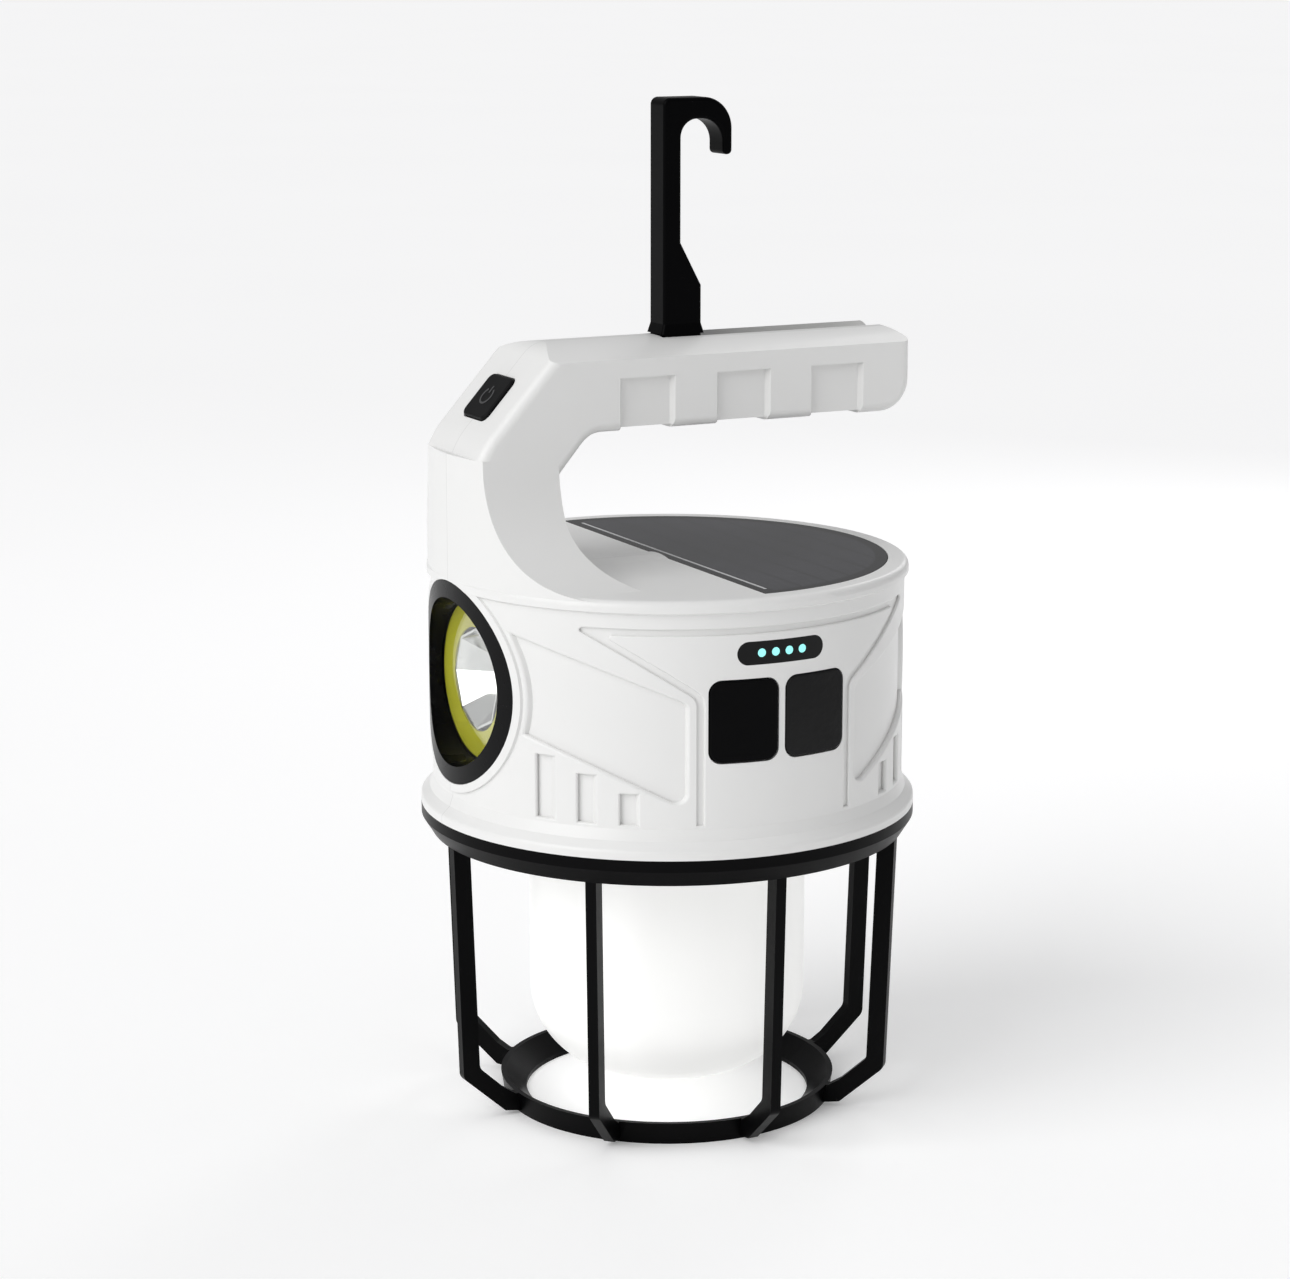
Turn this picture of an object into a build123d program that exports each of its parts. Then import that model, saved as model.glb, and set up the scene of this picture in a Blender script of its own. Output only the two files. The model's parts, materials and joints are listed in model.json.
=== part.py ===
"""Solar work lantern: a white housing with a C-shaped carrying handle and a fold-away hanging hook,
a torch on its front, a half-round solar panel on its deck, sockets behind two rubber covers on its
left side, and a frosted lamp inside a black wire-like guard that the lantern stands on.

Frame: origin at the centre of the guard ring's underside, +Z up, the torch facing -X, the socket
covers facing -Y, the handle's free end towards +X.  Millimetres throughout.
"""
from build123d import *
from math import atan2, cos, degrees, hypot, radians, sin
import os

os.makedirs("parts", exist_ok=True)

# ---- driving dimensions: barrel and deck ---------------------------------------------------------
barrel_r = 52.3        # outer radius of the straight wall
barrel_height = 54.7   # housing's lower edge to the deck
wall = 2.4             # moulded wall of the housing
deck_thickness = 3.6
rim_step = 0.9         # the top band stands this much proud of the wall
rim_height = 3.0
rim_round = 1.6
skirt_step = 2.7       # the lower edge flares out by this much
skirt_height = 6.0
skirt_round = 0.9

# ---- driving dimensions: column, arm and hook ----------------------------------------------------
finger_gap = 30.5      # deck to the arm's underside
arm_height = 18.4
arm_half_width = 14.5
arm_overhang = 1.0     # the arm ends this far outside the straight wall
column_depth = 19.6
column_proud = 0.6     # the column's front stands this much proud of the wall
slope_run = 20.4       # the front slope that carries the power button
slope_drop = 22.6
slope_round = 7.0      # rounding above the slope
slope_foot_round = 18.0    # and below it
throat_run = 8.0       # inner corner between column and arm
throat_rise = 9.3
throat_round = 6.0
arm_nose_r = 7.0       # lower corner of the arm's free end
arm_end_r = 3.5        # upper corner
flare_side_r = 26.0    # fillets that spread the column over the deck
flare_back_r = 14.0
flare_sink = 0.7       # both fillets run out this far under the deck's surface
edge_r = 2.2           # rounding of the handle's long edges
crown_drop = 3.0       # the arm's rounded top is this much lower at its sides

grip_width = 13.2
grip_pitch = 23.3
grip_first = -12.2     # centre of the grip recess nearest the column
grip_depth = 1.3
grip_top = 7.0         # below the arm's top
grip_slant = 0.8       # each recess narrows by this much at both ends down to its floor

hook_thickness = 7.2
hook_bar = 4.2
hook_base = 9.2
hook_rise = 50.9       # above the arm's top
hook_base_rise = 10.6
hook_taper_rise = 19.9
hook_reach = 16.6      # back face to the outside of the curl
hook_tip_width = 2.2
hook_tip_r = 1.0
hook_curl_r = 5.1      # inner corner of the curl at the tip's side
hook_curl_back_r = 4.0  # and at the bar's side
hook_crown = 4.6       # thickness above the curl
hook_crown_r = 6.8     # outer corner above the tip
hook_heel_r = 1.6      # outer corner above the bar
hook_tip_drop = 12.4   # top of the hook to the end of its tip
hook_edge_r = 0.8
hook_lip = 0.6         # the base flares out by this much where it meets the arm
hook_lip_side = 0.35
hook_lip_height = 2.2
hook_lip_gap = 0.25    # between the flare and the arm's top
hook_back_x = -2.7
hook_pin_r = 1.4
hook_pin_inset = 2.7   # the pin's axis from the hook's back face
hook_recess = 0.3      # the folded hook lies this far under the arm's top
hook_side_gap = 0.65
hook_bore_gap = 0.05
channel_wall = 1.4

# ---- driving dimensions: guard and lamp ----------------------------------------------------------
guard_height = 69.0    # standing surface to the housing's lower edge
collar_height = 6.0
collar_lip = 2.5
collar_taper = 2.2
rib_count = 8
rib_width = 2.4
rib_depth = 3.9
rib_lean = 1.8         # each rib leans in by this much down to its bend
rib_bend_z = 10.2
foot_ring_r = 37.8
foot_ring_height = 4.9
foot_ring_draft = 0.8
foot_ring_sole = 5.0
diffuser_r = 31.0
diffuser_corner_r = 19.0
diffuser_wall = 1.8
diffuser_clearance = 7.0   # under the diffuser's lowest point
lamp_led_size = 2.8

# ---- driving dimensions: torch -------------------------------------------------------------------
torch_z = 31.2         # above the housing's lower edge
bezel_r = 22.1
bezel_opening_r = 18.4
bezel_fit = 0.15
field_width = 1.9      # raised ring of the housing around the bezel
front_blend_r = 60.0   # flatter curve that the rim follows across the column's front
cob_distance = 45.8    # the yellow ring's face from the lantern's axis
cob_r = 17.3
cob_width = 5.9
lens_thickness = 1.0
reflector_depth = 8.2
reflector_facets = 8

# ---- driving dimensions: side panel --------------------------------------------------------------
cover_width = 14.8
cover_height = 17.3
cover_spacing = 2.0
cover_corner_r = 2.5
cover_thickness = 2.3
cover_proud = 0.3
cover_gap = 0.3
cover_edge_r = 0.4
cover_z = 28.8         # above the housing's lower edge
indicator_length = 20.4
indicator_height = 5.0
indicator_z = 43.1
indicator_pitch = 3.2
indicator_dot_r = 0.9
recess_depth = 1.2
recess_round = 0.7
flute_depth = 1.2
flute_round = 0.5
groove_width = 1.4
groove_depth = 0.7
groove_round = 0.3
tip_round = 0.6
torch_margin = 2.8          # the side recesses stay this far off the torch, and off an equal field
                            # at the back
panel_half_angle = 20.3     # of the upright socket panel, about the lantern's axis
yoke_half_angle = 49.5      # of the wide bar above it

# ---- driving dimensions: power button, panel, inner pieces ---------------------------------------
button_length = 11.2
button_width = 11.6
button_proud = 0.7
button_travel = 0.8
button_gap = 0.25
solar_r = 48.5
solar_chord_x = -2.1
solar_thickness = 2.0
solar_gap = 0.15
cell_r = 9.1
cell_length = 65.0
cell_pitch = 19.2
board_thickness = 1.6
screw_r = 1.3
screw_head_r = 2.6

# ---- levels and radii worked out from them -------------------------------------------------------
edge_z = guard_height                        # the housing's lower edge
deck_z = edge_z + barrel_height
under_z = deck_z + finger_gap                # the arm's underside
top_z = under_z + arm_height
front_r = barrel_r + column_proud
inner_r = barrel_r - wall
column_back_x = -front_r + column_depth
arm_end_x = barrel_r + arm_overhang
collar_r = barrel_r + skirt_step
collar_z = edge_z - collar_height
torch_axis_z = edge_z + torch_z
flare_z = deck_z - flare_sink
FAR = 200.0                                  # longer than anything it cuts


def round_corners(sketch, test, radius):
    """Round the corners of the sketch being built that pass the test."""
    fillet(sketch.vertices().filter_by(test), radius)


def side_profile(inset, foot_z):
    """The C-shaped side view of the column and arm down to foot_z, drawn in from its outline by inset."""
    with BuildSketch(Plane.XZ) as profile:
        with BuildLine():
            Polyline(
                (-front_r, foot_z), (-front_r, top_z - slope_drop), (-front_r + slope_run, top_z),
                (arm_end_x, top_z), (arm_end_x, under_z), (column_back_x + throat_run, under_z),
                (column_back_x, under_z - throat_rise), (column_back_x, foot_z), close=True)
        make_face()
        round_corners(profile, lambda v: v.X > arm_end_x - 1 and v.Y < under_z + 1, arm_nose_r)
        round_corners(profile, lambda v: v.X > arm_end_x - 1 and v.Y > top_z - 1, arm_end_r)
        round_corners(profile, lambda v: v.X < -front_r + 1 and v.Y > foot_z + 1, slope_foot_round)
        round_corners(profile, lambda v: v.X < 0 and v.Y > top_z - 1, slope_round)
        round_corners(profile, lambda v: column_back_x - 1 < v.X < 0 and foot_z + 1 < v.Y < under_z + 1,
                      throat_round)
        if inset:
            offset(amount=-inset, mode=Mode.REPLACE)
    return profile.sketch


def handle_form(inset, foot_z):
    """Column, slope and arm as one solid down to foot_z, every face drawn in by inset."""
    half_width = arm_half_width - inset
    with BuildPart() as form:
        add(extrude(side_profile(inset, foot_z), half_width, both=True, mode=Mode.PRIVATE))
        if not inset:
            long_edges = form.faces().filter_by(Axis.Y).edges()
            fillet(long_edges.filter_by(lambda e: e.center().Z > deck_z), edge_r)
        with BuildSketch(Plane.YZ) as section:
            crown_z = top_z - inset
            with BuildLine():
                Polyline((-half_width, crown_z - crown_drop), (-half_width, deck_z - FAR),
                         (half_width, deck_z - FAR), (half_width, crown_z - crown_drop))
                ThreePointArc((half_width, crown_z - crown_drop), (0, crown_z),
                              (-half_width, crown_z - crown_drop))
            make_face()
        extrude(amount=FAR, both=True, mode=Mode.INTERSECT)
        with BuildSketch(Plane.XY.offset(foot_z)):
            Circle(front_r - inset)
            with Locations((FAR / 2, 0)):
                Rectangle(FAR, FAR)
        extrude(amount=FAR, mode=Mode.INTERSECT)
    return form.part


def flare_form(inset, low_z):
    """The fillets that carry the column's back and sides out over the deck, down to low_z."""
    width = arm_half_width - inset
    side_r = flare_side_r + inset
    back_x = column_back_x - inset
    back_r = flare_back_r + inset
    run_out_z = flare_z - inset
    with BuildPart() as form:
        with BuildSketch(Plane.XY.offset(low_z)):
            Circle(front_r - inset)
        extrude(amount=side_r + 8)
        with BuildSketch(Plane.YZ):
            with BuildLine():
                Polyline((-FAR, low_z), (-FAR, run_out_z), (-width - side_r, run_out_z))
                RadiusArc((-width - side_r, run_out_z), (-width, run_out_z + side_r), -side_r)
                Polyline((-width, run_out_z + side_r), (-width, run_out_z + side_r + 1),
                         (width, run_out_z + side_r + 1), (width, run_out_z + side_r))
                RadiusArc((width, run_out_z + side_r), (width + side_r, run_out_z), -side_r)
                Polyline((width + side_r, run_out_z), (FAR, run_out_z), (FAR, low_z), (-FAR, low_z))
            make_face()
        extrude(amount=FAR, both=True, mode=Mode.INTERSECT)
        with BuildSketch(Plane.XZ):
            with BuildLine():
                Polyline((-FAR, low_z), (-FAR, run_out_z + side_r + 1), (back_x, run_out_z + side_r + 1),
                         (back_x, run_out_z + back_r))
                RadiusArc((back_x, run_out_z + back_r), (back_x + back_r, run_out_z), -back_r)
                Polyline((back_x + back_r, run_out_z), (FAR, run_out_z), (FAR, low_z), (-FAR, low_z))
            make_face()
        extrude(amount=FAR, both=True, mode=Mode.INTERSECT)
    return form.part


def round_body(points):
    """A solid turned about the lantern's axis from (radius, height) points."""
    with BuildPart() as body:
        with BuildSketch(Plane.XZ):
            with BuildLine():
                Polyline(*points, close=True)
            make_face()
        revolve(axis=Axis.Z)
    return body.part


def around(angle):
    """Distance along X of a point on the straight wall, angle degrees round from the left side."""
    return barrel_r * sin(radians(angle))


# ---- housing -------------------------------------------------------------------------------------
groove_z = edge_z + 48.6
yoke_foot_z = edge_z + skirt_height + 0.8
yoke_low_z = edge_z + 33.8
recess_top_z = (edge_z + 46.7, edge_z + 32.8)      # the side recess's upper edge, front and back end
recess_low_z = (edge_z + 27.0, edge_z + 10.4)
recess_angles = (76.0, 22.5)
flute_angles = (35.6, 45.5, 55.7)
flute_width = 3.6
flute_low_z = edge_z + skirt_height + 0.8
flute_gap = 2.6                      # under the recess


def save(piece, name):
    """Label a finished piece and write it to its own file."""
    piece.part.label = name
    export_step(piece.part, f"parts/{name}.step")


def relief(sketch, depth):
    """What a sketch in the XZ plane cuts out of the wall's left side, depth deep, clear of a round field
    about the torch and of an equal one at the back."""
    with BuildPart() as cut:
        add(extrude(sketch, FAR / 2, dir=(0, -1, 0), mode=Mode.PRIVATE))
        Cylinder(barrel_r - depth, FAR * 2, mode=Mode.SUBTRACT)
        with Locations((0, 0, torch_axis_z)):
            Cylinder(bezel_r + torch_margin, FAR, rotation=(0, 90, 0), mode=Mode.SUBTRACT)
    return cut.part


with BuildSketch(Plane.XZ) as yoke_field:
    with BuildLine():
        Polyline((-around(yoke_half_angle), groove_z), (around(yoke_half_angle), groove_z),
                 (around(panel_half_angle), yoke_low_z), (around(panel_half_angle), yoke_foot_z),
                 (-around(panel_half_angle), yoke_foot_z), (-around(panel_half_angle), yoke_low_z),
                 close=True)
    make_face()
    round_corners(yoke_field, lambda v: abs(v.Y - yoke_low_z) < 0.01, 3)

with BuildSketch(Plane.XZ) as yoke_inside:
    offset(yoke_field.sketch, amount=-groove_width)
    round_corners(yoke_inside, lambda v: abs(v.X) > around(panel_half_angle)
                  and v.Y > groove_z - 2 * groove_width, tip_round)
    with Locations((0, yoke_foot_z)):
        Rectangle(2 * (around(panel_half_angle) - groove_width), 4 * groove_width)

with BuildSketch(Plane.XZ) as yoke_groove:
    add(yoke_field.sketch)
    round_corners(yoke_groove, lambda v: abs(v.Y - groove_z) < 0.01, tip_round)
    add(yoke_inside.sketch, mode=Mode.SUBTRACT)

with BuildSketch(Plane.XZ) as side_recesses:
    with BuildLine():
        Polyline((-around(recess_angles[0]), recess_top_z[0]), (-around(recess_angles[1]), recess_top_z[1]),
                 (-around(recess_angles[1]), recess_low_z[1]), (-around(recess_angles[0]), recess_low_z[0]),
                 close=True)
    make_face()
    round_corners(side_recesses, lambda v: v.X > -around(30), 2)
    mirror(about=Plane.YZ)

with BuildSketch(Plane.XZ) as flutes:
    for flute_angle in flute_angles:
        share = ((around(recess_angles[0]) - around(flute_angle))
                 / (around(recess_angles[0]) - around(recess_angles[1])))
        flute_top_z = recess_low_z[0] + share * (recess_low_z[1] - recess_low_z[0]) - flute_gap
        with Locations((-around(flute_angle), (flute_top_z + flute_low_z) / 2)):
            Rectangle(flute_width * cos(radians(flute_angle)), flute_top_z - flute_low_z)
    mirror(about=Plane.YZ)

with BuildSketch(Plane.XZ) as covers_outline:
    with Locations((-(cover_width + cover_spacing) / 2, edge_z + cover_z),
                   ((cover_width + cover_spacing) / 2, edge_z + cover_z)):
        RectangleRounded(cover_width, cover_height, cover_corner_r)

with BuildSketch(Plane.XZ) as indicator_outline:
    with Locations((0, edge_z + indicator_z)):
        SlotOverall(indicator_length, indicator_height)

button_plane = Plane(origin=(-front_r + slope_run / 2, 0, top_z - slope_drop / 2),
                     x_dir=(slope_run, 0, slope_drop), z_dir=(-slope_drop, 0, slope_run))
torch_plane = Plane(origin=(0, 0, torch_axis_z), x_dir=(0, -1, 0), z_dir=(-1, 0, 0))
channel_half_width = hook_thickness / 2 + hook_side_gap + channel_wall
pin_x = hook_back_x + hook_pin_inset
pin_z = top_z - hook_recess - hook_pin_inset
slot_back_x = hook_back_x - hook_side_gap
slot_floor_z = top_z - hook_recess - hook_reach - 0.3

grip_places = [grip_first + grip_pitch * n for n in range(3)]
grip_wall_y = arm_half_width - grip_depth / 2
grip_end_angle = degrees(atan2(grip_depth, grip_slant))
with BuildPart() as finger_recesses:
    with BuildSketch(Plane.XY.offset(under_z - grip_depth)):
        for side, turn in ((-1, 0), (1, 180)):
            with Locations(*[Location((x, side * grip_wall_y, 0), (0, 0, turn)) for x in grip_places]):
                Trapezoid(grip_width, grip_depth, grip_end_angle)
            with Locations(*[(x, side * (arm_half_width + grip_depth)) for x in grip_places]):
                Rectangle(grip_width, 2 * grip_depth)
    extrude(amount=arm_height + grip_depth - grip_top)
    with Locations(*[(x, 0, under_z + grip_depth * 0.6) for x in grip_places]):
        Box(grip_width - grip_slant, 4 * arm_half_width, 2 * grip_depth,
            align=(Align.CENTER, Align.CENTER, Align.MAX))

# the round barrel alone, with the relief in its wall on both sides
with BuildPart() as barrel:
    add(round_body([
        (0, edge_z), (collar_r, edge_z), (collar_r, edge_z + 1.8),
        (barrel_r + skirt_step * 0.3, edge_z + skirt_height * 0.6), (barrel_r, edge_z + skirt_height),
        (barrel_r, deck_z - rim_height), (barrel_r + rim_step, deck_z - rim_height + 0.5),
        (barrel_r + rim_step, deck_z), (0, deck_z)]))
    fillet(barrel.edges().filter_by(GeomType.CIRCLE).filter_by(
        lambda e: e.radius > barrel_r + 0.1 and e.center().Z > deck_z - 0.1), rim_round)
    fillet(barrel.edges().filter_by(GeomType.CIRCLE).filter_by(
        lambda e: e.radius > collar_r - 0.1 and e.center().Z > edge_z + 0.1), skirt_round)
    for outline, depth, softness in ((yoke_groove, groove_depth, groove_round),
                                     (side_recesses, recess_depth, recess_round),
                                     (flutes, flute_depth, flute_round)):
        left_cut = relief(outline.sketch, depth)
        for cut in (left_cut, mirror(left_cut, about=Plane.XZ, mode=Mode.PRIVATE)):
            add(cut, mode=Mode.SUBTRACT)
            fillet(barrel.edges(Select.LAST).filter_by(
                lambda e: all(hypot(v.X, v.Y) > barrel_r - 0.01 for v in e.vertices())), softness)

# raised round field about the torch, flush with the column's front
with BuildPart() as torch_field:
    with Locations((0, 0, torch_axis_z)):
        Cylinder(bezel_r + field_width, front_r, rotation=(0, -90, 0),
                 align=(Align.CENTER, Align.CENTER, Align.MIN))
    Cylinder(front_r, FAR * 2, mode=Mode.INTERSECT)

with BuildPart() as shell:
    add(barrel.part)
    # the rim sinks into the column's front
    with BuildSketch(Plane.XY.offset(deck_z - rim_height - 1)):
        Rectangle(4 * barrel_r, 4 * barrel_r, align=(Align.MAX, Align.CENTER))
        with Locations((front_blend_r - front_r, 0)):
            Circle(front_blend_r, mode=Mode.SUBTRACT)
    extrude(amount=rim_height + 2, mode=Mode.SUBTRACT)
    add(torch_field.part)
    add(handle_form(0, deck_z - 2))
    add(flare_form(0, deck_z - 2))
    add(finger_recesses.part, mode=Mode.SUBTRACT)
    # hollow inside
    add(round_body([(0, edge_z - 1), (inner_r, edge_z - 1), (inner_r, deck_z - deck_thickness),
                    (0, deck_z - deck_thickness)]), mode=Mode.SUBTRACT)
    add(handle_form(wall, deck_z - deck_thickness - 4), mode=Mode.SUBTRACT)
    add(flare_form(wall, deck_z - deck_thickness - 4), mode=Mode.SUBTRACT)
    # seats for the torch, the solar panel, the hook channel and the power button
    with BuildSketch(torch_plane.offset(inner_r - 6.5)):
        Circle(bezel_r + bezel_fit)
    extrude(amount=FAR, mode=Mode.SUBTRACT)
    with BuildSketch(Plane.XY.offset(deck_z - solar_thickness)):
        Circle(solar_r + solar_gap)
        with Locations((solar_chord_x - solar_gap, 0)):
            Rectangle(FAR, FAR, align=(Align.MAX, Align.CENTER), mode=Mode.SUBTRACT)
    extrude(amount=solar_thickness + 1, mode=Mode.SUBTRACT)
    with BuildSketch(Plane.XZ):
        with Locations((slot_back_x - channel_wall, slot_floor_z)):
            Rectangle(FAR, FAR, align=(Align.MIN, Align.MIN))
    extrude(amount=channel_half_width, both=True, mode=Mode.SUBTRACT)
    with BuildSketch(button_plane.offset(-wall * 2)):
        RectangleRounded(button_length + 2 * button_gap, button_width + 2 * button_gap, 2)
    extrude(amount=wall * 4, mode=Mode.SUBTRACT)


# bosses and seats that only one half or a few places need
boss_r = 3.2
housing_screw_places = [(column_back_x - column_depth / 2, under_z - 16), (slot_back_x - 15, top_z - 9.5)]
base_screw_places = PolarLocations(inner_r - boss_r + 0.5, 4, start_angle=180 / rib_count)
base_thickness = 2.5
wire_hole_r = 4.0                           # through the base plate and the heat spreader
base_screw_reach = 9.5                      # above the housing's lower edge
base_z = edge_z + base_thickness
battery_holder_height = 9.0
boss_top_z = base_z + battery_holder_height
board_y = -(cell_length / 2 + 4.1)          # the main board's front face
board_width = 40.0
board_height = 38.0
pillar_r = 2.6
board_screw_places = [(-17.0, edge_z + 15), (17.0, edge_z + 15), (-17.0, edge_z + 46), (17.0, edge_z + 46)]
cover_centres = [-(cover_width + cover_spacing) / 2, (cover_width + cover_spacing) / 2]
pad_depth = 4.6                             # the wall's thickness behind the covers
usb_a_size = (12.6, 5.3)
usb_c_size = (9.0, 3.4)
port_gap = 0.1
port_setback = 2.5                          # mouths behind the cover's deepest point
board_plane = Plane(origin=(0, board_y, 0), x_dir=(1, 0, 0), z_dir=(0, -1, 0))
switch_depth = 9.4                          # the switch board under the slope's surface
switch_board_length = 16.0
switch_board_margin = 2.6                   # the switch board's ends stay this far off the side walls
switch_ledge_reach = 4.0                    # the ledges stand out from the side walls by this much
switch_ledge_root = 1.0                     # and run this far into them
window_thickness = 1.6
housing_head_depth = 3.5
screw_head_height = 1.9
driver_span = 2.8                           # cross recess in a screw's head
driver_width = 0.7
driver_depth = 1.0

with BuildPart() as bosses:
    with BuildSketch(Plane.XZ):
        with Locations(*housing_screw_places):
            Circle(boss_r)
    extrude(amount=arm_half_width - wall / 2, both=True)
    with BuildSketch(Plane.XY.offset(base_z)):
        with base_screw_places:
            Circle(boss_r)
    extrude(amount=boss_top_z - base_z)
    # ledges for the switch board, one from each side wall
    with BuildSketch(button_plane.offset(-switch_depth - board_thickness)):
        ledge_y = arm_half_width - wall + (switch_ledge_root - switch_ledge_reach) / 2
        with Locations((0, ledge_y), (0, -ledge_y)):
            Rectangle(switch_board_length / 2, switch_ledge_reach + switch_ledge_root)
    extrude(amount=-2)
    # pad behind the covers, and pillars for the main board
    with BuildSketch(Plane.XZ.offset(barrel_r - wall - pad_depth + 0.5)):
        with Locations((0, edge_z + cover_z)):
            Rectangle(2 * cover_width + cover_spacing + 6, cover_height + 6)
    extrude(amount=pad_depth)
    with BuildSketch(Plane.XZ.offset(-board_y)):
        with Locations(*board_screw_places):
            Circle(pillar_r)
    extrude(amount=inner_r + board_y - 2)
    with BuildSketch(Plane.XY.offset(edge_z)):
        Circle(barrel_r - wall / 2)
    extrude(amount=FAR, mode=Mode.INTERSECT)

with BuildPart() as screw_holes:
    with BuildSketch(Plane.XZ.offset(-FAR)):
        with Locations(*housing_screw_places):
            Circle(screw_r + 0.05)
    extrude(amount=FAR + 9)
    with BuildSketch(Plane.XZ.offset(-FAR)):
        with Locations(*housing_screw_places):
            Circle(screw_head_r + 0.15)
    extrude(amount=FAR - arm_half_width + housing_head_depth)
    with BuildSketch(Plane.XY.offset(edge_z)):
        with base_screw_places:
            Circle(screw_r + 0.05)
    extrude(amount=base_screw_reach + 1)
    with BuildSketch(Plane.XZ.offset(-board_y)):
        with Locations(*board_screw_places):
            Circle(screw_r + 0.05)
    extrude(amount=7)

with BuildPart() as side_openings:
    add(relief(offset(covers_outline.sketch, cover_gap, mode=Mode.PRIVATE), cover_thickness + 0.1))
    add(relief(indicator_outline.sketch, window_thickness))
    with BuildSketch(Plane.XZ.offset(-board_y + 2)):
        with Locations((cover_centres[0], edge_z + cover_z)):
            RectangleRounded(usb_a_size[0] + 2 * port_gap, usb_a_size[1] + 2 * port_gap, 0.7)
        with Locations((cover_centres[1], edge_z + cover_z)):
            SlotOverall(usb_c_size[0] + 2 * port_gap, usb_c_size[1] + 2 * port_gap)
        with Locations((0, edge_z + indicator_z)):
            SlotOverall(indicator_length - 4, indicator_height - 2)
    extrude(amount=FAR)

with BuildPart() as moulding:
    add(shell.part)
    add(bosses.part)
    add(screw_holes.part, mode=Mode.SUBTRACT)
    add(side_openings.part, mode=Mode.SUBTRACT)

with BuildPart() as housing_left:
    add(moulding.part)
    split(bisect_by=Plane.XZ, keep=Keep.TOP)
save(housing_left, "housing_left")

with BuildPart() as housing_right:
    add(moulding.part)
    split(bisect_by=Plane.XZ, keep=Keep.BOTTOM)
save(housing_right, "housing_right")

with BuildPart() as housing_screws:
    with BuildSketch(Plane.XZ.offset(-arm_half_width + housing_head_depth)):
        with Locations(*housing_screw_places):
            Circle(screw_head_r)
    extrude(amount=-screw_head_height)
    with BuildSketch(Plane.XZ.offset(-arm_half_width + housing_head_depth)):
        with Locations(*housing_screw_places):
            Circle(screw_r)
    extrude(amount=arm_half_width - housing_head_depth + 8.5)
    with BuildSketch(Plane.XZ.offset(-arm_half_width + housing_head_depth - screw_head_height)):
        with Locations(*housing_screw_places):
            Rectangle(driver_span, driver_width)
            Rectangle(driver_width, driver_span)
    extrude(amount=driver_depth, mode=Mode.SUBTRACT)
save(housing_screws, "housing_screws")

# ---- hook, its pin and the channel it folds into -------------------------------------------------
with BuildPart() as hook_channel:
    with BuildSketch(Plane.XY.offset(slot_floor_z)):
        with Locations((slot_back_x - channel_wall, 0)):
            Rectangle(FAR, 2 * channel_half_width, align=(Align.MIN, Align.CENTER))
        with Locations((slot_back_x, 0)):
            Rectangle(FAR, 2 * (channel_half_width - channel_wall), align=(Align.MIN, Align.CENTER),
                      mode=Mode.SUBTRACT)
    extrude(amount=FAR)
    add(handle_form(0, deck_z), mode=Mode.INTERSECT)
    with BuildSketch(Plane.XZ):
        with Locations((pin_x, pin_z)):
            Circle(hook_pin_r)
    extrude(amount=FAR, both=True, mode=Mode.SUBTRACT)
save(hook_channel, "hook_channel")

with BuildPart() as hook_pin:
    with BuildSketch(Plane.XZ):
        with Locations((pin_x, pin_z)):
            Circle(hook_pin_r)
    extrude(amount=channel_half_width, both=True)
save(hook_pin, "hook_pin")

hook_top_z = top_z + hook_rise
hook_front_x = hook_back_x + hook_reach
bar_x = hook_back_x + hook_bar
tip_x = hook_front_x - hook_tip_width
curl_width = tip_x - bar_x
curl_top_z = hook_top_z - hook_crown
tip_z = hook_top_z - hook_tip_drop
with BuildPart() as hook:
    with BuildSketch(Plane.XZ) as hook_outline:
        with BuildLine():
            Polyline((hook_back_x, pin_z), (hook_back_x, hook_top_z), (hook_front_x, hook_top_z),
                     (hook_front_x, tip_z), (tip_x, tip_z), (tip_x, curl_top_z), (bar_x, curl_top_z),
                     (bar_x, top_z + hook_taper_rise), (hook_back_x + hook_base, top_z + hook_base_rise),
                     (hook_back_x + hook_base, pin_z - hook_pin_inset), (pin_x, pin_z - hook_pin_inset))
            RadiusArc((pin_x, pin_z - hook_pin_inset), (hook_back_x, pin_z), hook_pin_inset)
        make_face()
        round_corners(hook_outline, lambda v: v.X > tip_x - 0.1 and abs(v.Y - tip_z) < 0.1,
                      min(hook_tip_r, 0.46 * hook_tip_width))
        round_corners(hook_outline, lambda v: v.X > hook_front_x - 0.1 and v.Y > hook_top_z - 0.1,
                      hook_crown_r)
        round_corners(hook_outline, lambda v: v.X < hook_back_x + 0.1 and v.Y > hook_top_z - 0.1,
                      hook_heel_r)
        round_corners(hook_outline, lambda v: v.X < bar_x + 0.1 and abs(v.Y - curl_top_z) < 0.01,
                      min(hook_curl_back_r, 0.42 * curl_width))
        round_corners(hook_outline, lambda v: v.X > tip_x - 0.1 and abs(v.Y - curl_top_z) < 0.01,
                      min(hook_curl_r, 0.5 * curl_width))
        with Locations((pin_x, pin_z)):
            Circle(hook_pin_r + hook_bore_gap, mode=Mode.SUBTRACT)
    extrude(amount=hook_thickness / 2, both=True)
    rims = hook.edges().filter_by(lambda e: abs(abs(e.center().Y) - hook_thickness / 2) < 0.01)
    fillet(rims.filter_by(lambda e: e.center().Z > top_z + 1), hook_edge_r)
    # the base flares out where it meets the arm
    with BuildSketch(Plane.XY.offset(top_z + hook_lip_gap)):
        with Locations((hook_back_x + hook_base / 2, 0)):
            RectangleRounded(hook_base + 2 * hook_lip, hook_thickness + 2 * hook_lip_side, hook_edge_r)
    with BuildSketch(Plane.XY.offset(top_z + hook_lip_gap + hook_lip_height)):
        with Locations((hook_back_x + hook_base / 2, 0)):
            RectangleRounded(hook_base - 0.02, hook_thickness - 0.02, hook_edge_r)
    loft()
save(hook, "hook")

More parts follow.
